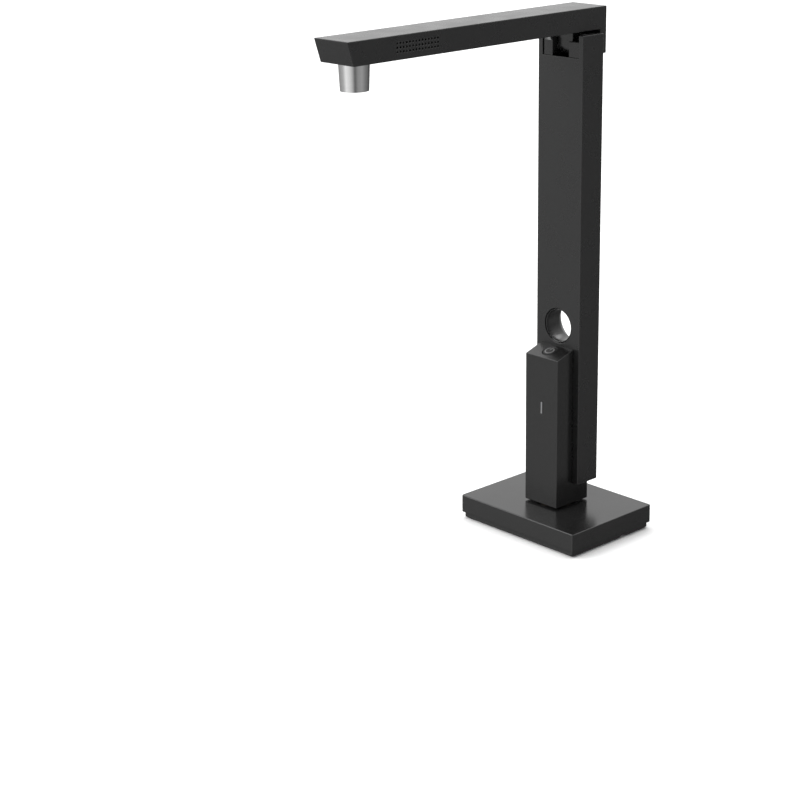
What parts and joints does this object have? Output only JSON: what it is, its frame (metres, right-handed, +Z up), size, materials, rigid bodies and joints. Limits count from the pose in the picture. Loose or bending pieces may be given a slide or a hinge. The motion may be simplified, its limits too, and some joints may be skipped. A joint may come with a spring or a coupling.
{
  "type": "document camera",
  "caption": "Folding overhead document camera: a lens arm on a square column over a flat weighted base, with a dock hole for the lens when folded.",
  "frame": {"origin": "middle of the base's underside, on the plane that the part stands on", "axes": "+Z up; the arm reaches towards -Y; +X is to the right of somebody who looks along +Y"},
  "size_m": [0.1046, 0.2303, 0.3503],
  "materials": {
    "black_anodised": "satin black anodised, fine bead-blasted grain",
    "black_moulded": "matte black moulded plastic, fine texture",
    "dark_plastic": "matte near-black moulded plastic",
    "black_rubber": "matte rubber",
    "steel": "plain zinc-plated steel",
    "dark_steel": "black-oxide screw steel",
    "bearing_bronze": "sintered bronze bush",
    "silver": "turned, fine satin silver",
    "circuit_board": "green solder-masked board",
    "chip": "matte black moulded chips",
    "light_pipe": "frosted light pipe",
    "cable": "flat ribbon cable",
    "lens_glass": "coated optical glass",
    "mesh": "black acoustic mesh",
    "icon": "printed light-grey mark"
  },
  "bodies": {
    "base": {"base_cover": "black_moulded", "base_tray": "dark_plastic", "ballast_plate": "steel", "rubber_pad": "black_rubber", "base_screws": "steel", "swivel_bush": "bearing_bronze"},
    "stand": {"swivel_spigot": "steel", "swivel_washer": "steel", "swivel_nut": "steel", "post_floor": "dark_plastic", "post_screws": "steel", "post_housing": "black_moulded", "button_ring": "dark_plastic", "button_board": "circuit_board", "dome_switch": "steel", "main_board": "circuit_board", "board_chips": "chip", "led_light_pipe": "light_pipe", "usb_c_socket": "steel", "column_shell": "black_anodised", "column_back_cover": "black_anodised", "column_bottom_cap": "dark_plastic", "column_spine": "steel", "column_screws": "dark_steel", "dock_ring": "dark_plastic", "flat_cable": "cable", "hinge_block_left": "black_moulded", "hinge_block_right": "black_moulded", "hinge_pin": "steel", "friction_washers": "steel", "pin_clip": "steel"},
    "arm": {"arm_body": "black_anodised", "arm_bottom_cover": "black_moulded", "arm_knuckle": "black_moulded", "arm_screws": "dark_steel", "grille_mesh": "mesh", "microphone_module": "circuit_board", "camera_board": "circuit_board", "image_sensor": "chip", "lens_seat": "dark_plastic", "lens_barrel": "silver", "lens_elements": "lens_glass", "lens_glass": "lens_glass", "lens_ring": "dark_plastic"},
    "power_button": {"power_button": "dark_plastic", "power_icon": "icon"}
  },
  "joints": [
    {"name": "base_swivel", "type": "hinge", "parent": "base", "child": "stand", "pos_m": [0, 0, 0.017], "axis": [0, 0, 1], "range_deg": [-90, 90]},
    {"name": "arm_fold", "type": "hinge", "parent": "stand", "child": "arm", "pos_m": [0, 0.0107, 0.3254], "axis": [1, 0, 0], "range_deg": [0, 90]},
    {"name": "power_button_press", "type": "slide", "parent": "stand", "child": "power_button", "axis": [0, 0.3007, -0.9537], "range_m": [0, 0.0007], "stiffness_N_per_m": 1200}
  ]
}
